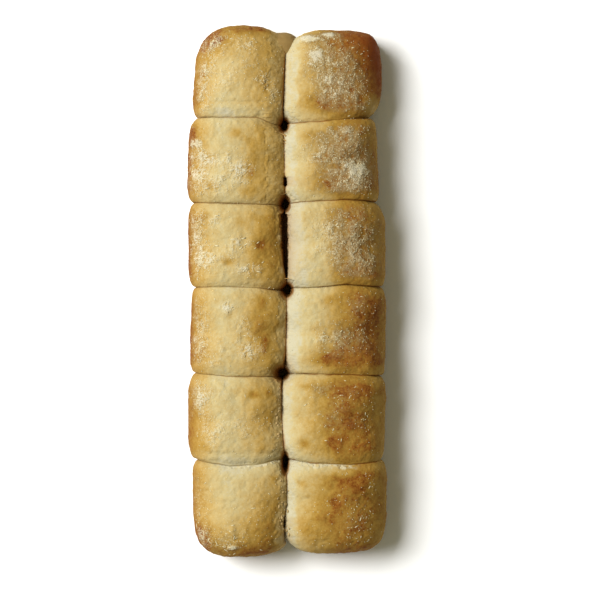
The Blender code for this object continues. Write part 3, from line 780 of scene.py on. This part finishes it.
def crust_material():
    """Crust colours by how baked the skin is, then coats from the skin outwards.

    Each coat mixes in its colour by its amount: scorch, a veil of toasted flour on browned skin
    of the right column, flour by its specks, caked flour, torn crumb, and last the painted shade
    of creases, multiplied in.
    """
    material, tree, shader = start_material("floury_baked_crust", 0.86, 0.10)
    place = add(tree, "TexCoord", {}).outputs["Object"]
    across = add(tree, "SeparateXYZ", {"Vector": place}).outputs["X"]
    state = add(tree, "Attribute", {"attribute_name": "bake"})
    scorched = add(tree, "Attribute", {"attribute_name": "burnt"}).outputs["Fac"]
    parts = add(tree, "SeparateColor", {"Color": state.outputs["Color"]})
    baked, flour, crumb = parts.outputs[0], parts.outputs[1], parts.outputs[2]

    shade = baked
    for size, detail, rough, sway in MOTTLES:
        fields = {"Scale": 1 / size, "Detail": detail, "Roughness": rough, "Vector": place}
        speckle = add(tree, "TexNoise", fields)
        for operation, other in (("SUBTRACT", 0.5), ("MULTIPLY", sway), ("ADD", shade)):
            speckle = add(tree, "Math", {"operation": operation, 0: speckle, 1: other})
        shade = speckle
    colours = add(tree, "ValToRGB", {"Fac": shade})
    stops = colours.color_ramp.elements
    while len(stops) < len(CRUST_STOPS):
        stops.new(0.5)
    for stop, (position, code) in zip(stops, CRUST_STOPS):
        stop.position = position
        stop.color = linear(code)

    veil = 1.0
    for value, low, high in ((flour, 0.02, 0.30), (baked, 0.30, 0.75), (across, 2 * MM, 12 * MM)):
        fields = {**EASED, "Value": value, "From Min": low, "From Max": high}
        part = add(tree, "MapRange", fields)
        veil = add(tree, "Math", {"operation": "MULTIPLY", 0: veil, 1: part})
    veil = add(tree, "Math", {"operation": "MULTIPLY", 0: veil, 1: VEIL_MOST})

    grit = 0.0
    for size in SPECK_SIZES:
        cells = add(tree, "TexVoronoi", {"Scale": 1 / size, "Vector": place})
        away = cells.outputs["Distance"]
        near = add(tree, "MapRange", {**EASED, "Value": away, "From Min": 0.55, "From Max": 0.15})
        chance = add(tree, "SeparateColor", {"Color": cells.outputs["Color"]})
        fields = {**EASED, "Value": chance, "From Min": -0.2, "From Max": 0.9}
        some = add(tree, "MapRange", fields)
        specks = add(tree, "Math", {"operation": "MULTIPLY", 0: near, 1: some})
        grit = add(tree, "Math", {"operation": "MAXIMUM", 0: grit, 1: specks})
    dust = grit
    for operation, other in (("MULTIPLY", 0.80), ("ADD", 0.45), ("MULTIPLY", flour)):
        dust = add(tree, "Math", {"operation": operation, 0: dust, 1: other})
    fields = {**EASED, "Value": dust, "From Min": 0.02, "From Max": 1.0, "To Max": DUST_MOST}
    dust = add(tree, "MapRange", fields)
    fields = {**EASED, "Value": flour, "From Min": 0.75, "From Max": 1.15, "To Max": CAKED_MOST}
    caked = add(tree, "MapRange", fields)
    torn = add(tree, "Math", {"operation": "MULTIPLY", 0: crumb, 1: CRUMB_MOST})

    coated = colours.outputs["Color"]
    for amount, code, blend in (
        (scorched, BURNT_COLOUR, "MIX"), (veil, VEIL_COLOUR, "MIX"), (dust, FLOUR_COLOUR, "MIX"),
        (caked, CAKED_COLOUR, "MIX"), (torn, CRUMB_COLOUR, "MIX"),
        # Painted shade of creases.
        (state.outputs["Alpha"], CREASE_SHADE_COLOUR, "MULTIPLY"),
    ):
        fields = {"data_type": "RGBA", "blend_type": blend, 0: amount, 6: coated, 7: linear(code)}
        coated = add(tree, "Mix", fields).outputs[2]
    tree.links.new(coated, shader.inputs["Base Color"])

    fields = {"Scale": 1 / WRINKLE_SIZE, "Detail": 4, "Roughness": 0.65, "Vector": place}
    wrinkles = add(tree, "TexNoise", fields)
    wrinkles = add(tree, "Math", {"operation": "MULTIPLY", 0: wrinkles, 1: 0.34})
    dusty = add(tree, "Math", {"operation": "MULTIPLY", 0: dust, 1: 0.35})
    raised = add(tree, "Math", {"operation": "ADD", 0: wrinkles, 1: dusty})
    fields = {"Strength": 1.0, "Distance": WRINKLE_DEPTH, "Height": raised}
    bump = add(tree, "Bump", fields)
    tree.links.new(bump.outputs["Normal"], shader.inputs["Normal"])
    return material


def stand(name, data):
    """Put a mesh, lamp or camera into the scene as an object."""
    item = bpy.data.objects.new(name, data)
    bpy.context.scene.collection.objects.link(item)
    return item


def put_piece(name, points, faces, material, states=None, caps=(), burnt=None):
    """Make a piece of the bread from points, faces and many-sided caps, with its states."""
    mesh = bpy.data.meshes.new(name)
    sizes = np.concatenate([np.full(len(faces), faces.shape[1]), [len(cap) for cap in caps]])
    corners = np.concatenate([faces.ravel(), *caps]).astype(np.int32)
    mesh.vertices.add(len(points))
    mesh.vertices.foreach_set("co", np.ascontiguousarray(points - MIDDLE, np.float32).ravel())
    mesh.loops.add(len(corners))
    mesh.loops.foreach_set("vertex_index", corners)
    mesh.polygons.add(len(sizes))
    starts = np.concatenate([[0], np.cumsum(sizes)[:-1]]).astype(np.int32)
    mesh.polygons.foreach_set("loop_start", starts)
    mesh.update(calc_edges=True)
    mesh.validate()
    if states is not None:
        layer = mesh.attributes.new("bake", "FLOAT_COLOR", "POINT")
        layer.data.foreach_set("color", np.ascontiguousarray(states, np.float32).ravel())
    if burnt is not None:
        layer = mesh.attributes.new("burnt", "FLOAT", "POINT")
        layer.data.foreach_set("value", burnt.astype(np.float32))
    mesh.shade_smooth()
    mesh.materials.append(material)
    piece = stand(name, mesh)
    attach(piece, "root")
    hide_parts("bread")


crust = crust_material()
for roll in ROLLS:
    skin = roll["skin"] = dress_roll(roll)
    caps = [roll["base"][::-1]]
    put_piece(roll["name"], skin.points, roll["faces"], crust, skin.states, caps, skin.burnt)

# ----------------------------------------------------------------------
# Core and lobe. Under the seams the dough is one mass, which closes the bottoms of the pits.
# At the far end a low lobe of dough fills the notch between the first two rolls.

BALL_RINGS = 48
BALL_SEGMENTS = 96


def ball(rings, segments):
    """A unit ball: points at even angles, quads between the rings, and a cap at each pole."""
    polar = np.linspace(0, np.pi, rings + 1)[1:-1]
    turn = np.arange(segments) * 2 * np.pi / segments
    polar, turn = np.meshgrid(polar, turn, indexing="ij")
    out, up = np.sin(polar), np.cos(polar)
    points = np.stack([out * np.cos(turn), out * np.sin(turn), up], axis=-1)
    grid = np.arange((rings - 1) * segments).reshape(rings - 1, segments)
    after = np.roll(grid, -1, axis=1)
    faces = quads(grid[:-1], grid[1:], after[1:], after[:-1])
    return points.reshape(-1, 3), faces, [grid[0], grid[-1][::-1]]


def squared(ways, power):
    """Points along each direction of a ball where |x|^p + |y|^p + |z|^p = 1."""
    return ways / (np.abs(ways) ** power).sum(axis=1)[:, None] ** (1 / power)


CORE_INSET = 11.0 * MM
CORE_HEIGHT = 10.0 * MM
CORE_START = 0.4 * MM
CORE_POWER = 8
ways, faces, caps = ball(BALL_RINGS, BALL_SEGMENTS)
core_high = np.array([SIDES[1].min() - CORE_INSET, ENDS[1].max() - CORE_INSET])
core_low = np.array([SIDES[-1].max() + CORE_INSET, ENDS[1].min() + CORE_INSET])
core_middle = [*(core_high + core_low) / 2, (CORE_HEIGHT + CORE_START) / 2]
core_half = [*(core_high - core_low) / 2, (CORE_HEIGHT - CORE_START) / 2]
core_points = squared(ways, CORE_POWER) * core_half + core_middle
# Baked, floury, torn, and the painted crease shade, as on the rolls.
core_states = np.tile([0.55, 0.0, 0.4, 0.3], (len(core_points), 1))
put_piece("core", core_points, faces, crust, core_states, caps)

# Dough of the lobe, two dull tans in soft patches with no shine: dough colour darkened with
# painted shade for the soft shadow that the rolls cast on it.
SHADED_DOUGH_TANS = ("#8F7546", "#796035")
DOUGH_PATCH = 3.0 * MM
DOUGH_WRINKLE = 1.2 * MM


def shaded_dough():
    """Two painted-shade tans mixed by soft noise, with shallow wrinkles from finer noise."""
    material, tree, shader = start_material("matt_dough_painted_shade", 0.88, 0.10)
    place = add(tree, "TexCoord", {}).outputs["Object"]
    fields = {"Scale": 1 / DOUGH_PATCH, "Detail": 4, "Vector": place}
    patchy = add(tree, "TexNoise", fields)
    pale, dark = linear(SHADED_DOUGH_TANS[0]), linear(SHADED_DOUGH_TANS[1])
    tan = add(tree, "Mix", {"data_type": "RGBA", 0: patchy, 6: pale, 7: dark})
    tree.links.new(tan.outputs[2], shader.inputs["Base Color"])
    fields = {"Scale": 1 / DOUGH_WRINKLE, "Detail": 3, "Vector": place}
    wrinkles = add(tree, "TexNoise", fields)
    fields = {"Strength": 0.6, "Distance": 0.3 * MM, "Height": wrinkles}
    bump = add(tree, "Bump", fields)
    tree.links.new(bump.outputs["Normal"], shader.inputs["Normal"])
    return material


LOBE_PLACE = np.array([-4.2, 142.0, 13.0]) * MM
LOBE_HALF_SIZE = np.array([13.0, 13.6, 19.5]) * MM
LOBE_POWER = 2.5
LOBE_WRINKLE = 0.4 * MM
lobe_points = squared(ways, LOBE_POWER) * LOBE_HALF_SIZE + LOBE_PLACE
lobe_points += ways * (LOBE_WRINKLE * noise(lobe_points, 6 * MM, 81))[:, None]
lobe_points[:, 2] = np.maximum(lobe_points[:, 2], CORE_START)
put_piece("lobe", lobe_points, faces, shaded_dough(), None, caps)

# ----------------------------------------------------------------------
# Loose flour grains: specks of the rice flour that was shaken over the dough. They stand on
# the crust that they dried on, each a dull little stone.

# Dry flour: ground starch, a pale cream with no shine, which looks chalky.
flour_grain, _, shader = start_material("dry_flour", 0.95, 0.1)
shader.inputs["Base Color"].default_value = linear("#C4B995")

# A stone has the twelve corners of an icosahedron of radius 1, and a face wherever three of
# them are an edge apart.
GOLDEN = (1 + 5**0.5) / 2
STONE_POINTS = np.array([
    (0, -1, -GOLDEN), (0, -1, GOLDEN), (0, 1, -GOLDEN), (0, 1, GOLDEN),
    (-1, -GOLDEN, 0), (-1, GOLDEN, 0), (1, -GOLDEN, 0), (1, GOLDEN, 0),
    (-GOLDEN, 0, -1), (GOLDEN, 0, -1), (-GOLDEN, 0, 1), (GOLDEN, 0, 1),
]) / np.hypot(1, GOLDEN)
STONE_EDGE = 1.1
STONE_DENTS = (0.7, 1.15)
STONE_FACES = np.array([
    face for face in itertools.combinations(range(12), 3)
    if max(np.linalg.norm(STONE_POINTS[a] - STONE_POINTS[b])
           for a, b in itertools.combinations(face, 2)) < STONE_EDGE
])
stone_a, stone_b, stone_c = STONE_POINTS[STONE_FACES.T]
inward = (np.cross(stone_b - stone_a, stone_c - stone_a) * stone_a).sum(axis=1) < 0
STONE_FACES[inward] = STONE_FACES[inward][:, ::-1]

random = np.random.default_rng(4526)


def stones(places, normals, along, halves):
    """Twenty-sided stones on the skin, each dented at random and drawn out along a direction."""
    count = len(places)
    side = unit(along - normals * (along * normals).sum(axis=1)[:, None])
    frame_of = np.stack([side, np.cross(normals, side), normals], axis=1)
    shape = STONE_POINTS[None] * random.uniform(*STONE_DENTS, (count, 12, 1)) * halves[:, None]
    points = places[:, None] + np.einsum("npk,nkj->npj", shape, frame_of)
    faces = STONE_FACES[None] + 12 * np.arange(count)[:, None, None]
    return points.reshape(-1, 3), faces.reshape(-1, 3)


skins = np.concatenate([roll["skin"].points for roll in ROLLS])
skin_out = np.concatenate([roll["skin"].normals for roll in ROLLS])
density = np.concatenate([roll["skin"].density for roll in ROLLS])
# Most grains lie where the flour is dense, and a few anywhere on the crowns.
wanted = density**1.5 + 0.020 * ramp(skin_out[:, 2], 0.4, 0.8) * (skins[:, 2] > 30 * MM)
GRAIN_COUNT = 8200
# Half size of the smallest grain, and how much is added to it at most, in mm.
GRAIN_LEAST = 0.13
GRAIN_SPREAD = 0.24
chosen = random.choice(len(skins), GRAIN_COUNT, replace=False, p=wanted / wanted.sum())
grain_sizes = (GRAIN_LEAST + GRAIN_SPREAD * random.random(GRAIN_COUNT) ** 2) * MM
grain_points, grain_faces = stones(
    skins[chosen] + skin_out[chosen] * (0.3 * grain_sizes)[:, None], skin_out[chosen],
    random.normal(size=(GRAIN_COUNT, 3)), grain_sizes[:, None] * [1.0, 1.0, 0.7])
put_piece("flour_grains", grain_points, grain_faces, flour_grain)

# ----------------------------------------------------------------------
# Flakes: slivers of dried flour paste and lifted skin that lie on the crust, pale and dull. Each
# is a stone drawn out along its heading and pressed flat.

# X, Y and half length in mm, and heading in degrees from +X, of the ones listed one by one.
FLAKES = np.array([
    (-24, 27.5, 2.2, 40), (-27.4, 25.2, 1.6, 35), (-41.8, 26.5, 1.8, -8), (-43.6, 20, 1.8, 30),
    (-41.6, 44.6, 1.6, 8), (-17, 28.6, 1.3, 35), (-23, 13, 1.3, -70), (-20.2, 12.8, 1.3, -60),
    (-27, 12.6, 1.3, -10), (-16.6, 11, 1.7, -15), (-54.2, 12.8, 1.1, -65), (-31.8, 30.4, 2.2, 5),
    (-26.2, 30.8, 2.4, 12), (-18.4, 125.6, 1.3, 45), (-11.4, 119.6, 1, 20), (-50.8, 139.6, 0.9, 60),
    (-51.8, 115.6, 0.9, 60), (-9.6, 111.8, 1.2, -30), (-55.6, 87.4, 1.4, 10),
    (-52.4, 88.4, 1.4, -20), (-56, 74.6, 1.6, 10), (-50.6, 68, 1.4, 30), (-47.6, 76, 1.8, 25),
    (-22, 74.6, 1.2, 30), (-49.4, -145, 2.4, 75), (-54, -141, 2.2, -65), (-46.8, -149, 1.7, 55),
    (-42, -150.6, 1.4, -70), (-34, -153.4, 2, 12), (-31.4, -146.6, 2, 80), (-32.4, -139.6, 1.2, 20),
    (-36.4, -155.4, 1.8, -55), (-27.6, -149.6, 1.3, -40), (-20, -129.4, 1.3, 5),
    (-31.6, -157.6, 1.3, 70), (-52.6, -133.6, 1.8, -75), (37.2, -63.4, 1.2, 70),
    (32.4, -88.8, 1.3, 80), (40.6, -57.4, 0.9, 30), (34.8, -53.6, 0.9, -20), (11, -68, 1.3, 30),
    (49.2, -117, 1.3, 60), (43.8, -136, 1.6, 70), (41.4, -140.6, 1.3, 30), (48, 70, 1.2, 50),
    (37, 104, 0.9, 20), (44.6, 141, 1.1, 30), (22.8, 118, 0.9, 60),
])
FLAKE_HALF_DEPTH = 0.17 * MM
upward = np.flatnonzero(skin_out[:, 2] > 0.3)


def skin_at(spots):
    """Index of the skin point nearest to each spot, as seen from above; spots are X, Y in mm."""
    found = [np.argmin(((skins[upward, :2] - spot) ** 2).sum(axis=1)) for spot in spots * MM]
    return upward[found]


LOOSE_FLAKES = 520
loose = random.choice(len(skins), LOOSE_FLAKES, replace=False, p=wanted / wanted.sum())
flake_at = np.concatenate([skin_at(FLAKES[:, :2]), loose])
headings = np.concatenate([np.radians(FLAKES[:, 3]), random.uniform(0, 2 * np.pi, LOOSE_FLAKES)])
lengths = np.concatenate([FLAKES[:, 2], 0.4 + 0.7 * random.random(LOOSE_FLAKES) ** 2]) * MM
widths = (0.12 + 0.14 * random.random(len(lengths))) * MM + 0.10 * lengths
flake_points, flake_faces = stones(
    skins[flake_at] + 0.06 * MM * skin_out[flake_at], skin_out[flake_at],
    np.stack([np.cos(headings), np.sin(headings), 0 * headings], axis=1),
    np.stack([1.2 * lengths, widths, np.full(len(lengths), FLAKE_HALF_DEPTH)], axis=1))
put_piece("flakes", flake_points, flake_faces, flour_grain)

# ----------------------------------------------------------------------
# Crumbs: bits of torn white crumb along the valley beside the last rolls and under the lip of
# the last seam, where the skins stuck and pulled apart. They are soft, rough and cream.

# Start and end of each torn line, X and Y in mm, how wide it is in mm and how many crumbs.
TORN_LINES = (
    (-2.8, -111, -3.0, -144, 1.2, 26), (0.8, -118, 0.8, -147, 0.4, 6),
    (-5.0, -62, -4.6, -92, 0.7, 14), (-1.8, -141.5, -1.6, -143.5, 0.6, 7),
)
spots, crumb_sizes = [], []
for x0, y0, x1, y1, width, count in TORN_LINES:
    share = random.random(count)[:, None]
    line = np.array([x0, y0]) * (1 - share) + np.array([x1, y1]) * share
    spots.append(line + width * random.normal(size=(count, 2)))
    crumb_sizes.append((0.5 + 0.9 * random.random(count) ** 2) * MM)
crumb_at = skin_at(np.concatenate(spots))
crumb_sizes = np.concatenate(crumb_sizes)
crumb_points, crumb_faces = stones(
    skins[crumb_at] + skin_out[crumb_at] * (0.2 * crumb_sizes)[:, None], skin_out[crumb_at],
    random.normal(size=(len(crumb_at), 3)), crumb_sizes[:, None] * [1.3, 0.9, 0.45])
# Baked, floury, torn, and a little painted crease shade.
crumb_states = np.tile([0.45, 0.0, 0.3, 0.15], (len(crumb_points), 1))
put_piece("crumbs", crumb_points, crumb_faces, crust, crumb_states)

# ----------------------------------------------------------------------
# Strands: threads of dough that stretched across the valley and the pits as the rolls drew
# apart, thick where they leave the skin and thin in the middle.

# Start and end of each thread, X and Y in mm, and its radius in mm.
STRANDS = np.array([
    (-7.0, 94.4, -0.2, 92.0, 0.45), (-6.4, 92.0, -0.2, 89.4, 0.36), (-5.0, 89.4, 0.0, 87.6, 0.26),
    (-4.6, 7.8, 1.4, 7.2, 0.24), (-3.8, 57.6, 1.4, 58.2, 0.22), (-4.2, -133.4, 0.0, -134.4, 0.34),
    (-4.6, -143.8, 0.0, -143.2, 0.40),
])
STRAND_STEPS = 9
STRAND_SIDES = 6
STRAND_SAG = 1.2 * MM
STRAND_SWAY = 0.35 * MM
# How deep in the skin a thread starts and ends.
STRAND_ROOTS = np.array([[0, 0, 0.35], [0, 0, 0.6]]) * MM
begin = skins[skin_at(STRANDS[:, :2])] - STRAND_ROOTS[0]
finish = skins[skin_at(STRANDS[:, 2:4])] - STRAND_ROOTS[1]
share = np.linspace(0, 1, STRAND_STEPS)[None, :, None]
paths = begin[:, None] * (1 - share) + finish[:, None] * share
paths[:, :, 2] -= 4 * STRAND_SAG * (share * (1 - share))[:, :, 0]
paths[:, :, 1] += STRAND_SWAY * np.sin(3.3 * share[:, :, 0] + np.arange(len(STRANDS))[:, None])
across = unit(np.cross(finish - begin, [0, 0, 1]))
turns = np.arange(STRAND_SIDES) * 2 * np.pi / STRAND_SIDES
ring = across[:, None] * np.cos(turns)[None, :, None]
ring = ring + np.array([0, 0, 1]) * np.sin(turns)[None, :, None]
thick = STRANDS[:, 4][:, None] * MM * (0.8 + 0.7 * (2 * share[..., 0] - 1) ** 2)
strand_points = paths[:, :, None] + ring[:, None] * thick[:, :, None, None]
index = np.arange(strand_points.size // 3).reshape(len(STRANDS), STRAND_STEPS, STRAND_SIDES)
after = np.roll(index, -1, axis=2)
strand_faces = quads(index[:, :-1], index[:, 1:], after[:, 1:], after[:, :-1])
strand_caps = [*index[:, 0], *index[:, -1, ::-1]]
strand_points = strand_points.reshape(-1, 3)
# Baked, floury, torn, and some painted crease shade.
strand_states = np.tile([0.50, 0.0, 0.15, 0.30], (len(strand_points), 1))
put_piece("strands", strand_points, strand_faces, crust, strand_states, strand_caps)

# ----------------------------------------------------------------------
# Floor, light and camera: white paper under the bread, soft daylight from one side with a dim
# warm room round it, and a camera straight above.

FLOOR_DROP = 0.3 * MM
FLOOR_REACH = 8.0
corners = np.array([(-1, -1, 0), (1, -1, 0), (1, 1, 0), (-1, 1, 0)]) * FLOOR_REACH
floor_mesh = bpy.data.meshes.new("floor")
floor_mesh.from_pydata(corners - [0, 0, FLOOR_DROP], [], [(0, 1, 2, 3)])
# Uncoated paper: pressed white fibre, which looks even and has a soft, faint shine.
paper, _, shader = start_material("white_paper", 0.9, 0.5)
shader.inputs["Base Color"].default_value = linear("#FAFAFA")
floor_mesh.materials.append(paper)
floor = stand("floor", floor_mesh)

# The frame is 600 pixels square, and the bread's middle is at this pixel of it.
PIXEL = 0.6 * MM
FRAME_PIXELS = 600
BREAD_IN_FRAME = (287.0, 290.5)
LENS = 200.0
SENSOR = 36.0
TOP_LEVEL = 25 * MM
camera_data = bpy.data.cameras.new("camera")
camera_data.lens = LENS
camera_data.sensor_width = SENSOR
camera_data.clip_end = 50
camera = stand("camera", camera_data)
camera.location = (
    (FRAME_PIXELS / 2 - BREAD_IN_FRAME[0]) * PIXEL - MIDDLE[0],
    (BREAD_IN_FRAME[1] - FRAME_PIXELS / 2) * PIXEL - MIDDLE[1],
    TOP_LEVEL + FRAME_PIXELS * PIXEL * LENS / SENSOR,
)
bpy.context.scene.camera = camera

# The key light is a large soft square, as from a window on the left and towards the far end.
KEY_HEADING = np.radians(158.0)
KEY_RISE = np.radians(50.5)
KEY_DISTANCE = 3.2
KEY_SIZE = 2.0
KEY_WATTS = 191
key_data = bpy.data.lights.new("window_key", "AREA")
key_data.shape = "SQUARE"
key_data.size = KEY_SIZE
key_data.energy = KEY_WATTS
key = stand("window_key", key_data)
key_way = [np.cos(KEY_HEADING) * np.cos(KEY_RISE), np.sin(KEY_HEADING) * np.cos(KEY_RISE)]
key.location = KEY_DISTANCE * np.array([*key_way, np.sin(KEY_RISE)])
key.rotation_euler = (-key.location).to_track_quat("-Z", "Y").to_euler()

# The room's own light is weak, even and a little warm.
ROOM_COLOUR = "#FAF7D4"
ROOM_STRENGTH = 0.23
world = bpy.data.worlds.new("studio")
world.use_nodes = True
background = world.node_tree.nodes["Background"]
background.inputs["Color"].default_value = linear(ROOM_COLOUR)
background.inputs["Strength"].default_value = ROOM_STRENGTH
bpy.context.scene.world = world
bpy.context.scene.view_settings.view_transform = "Standard"
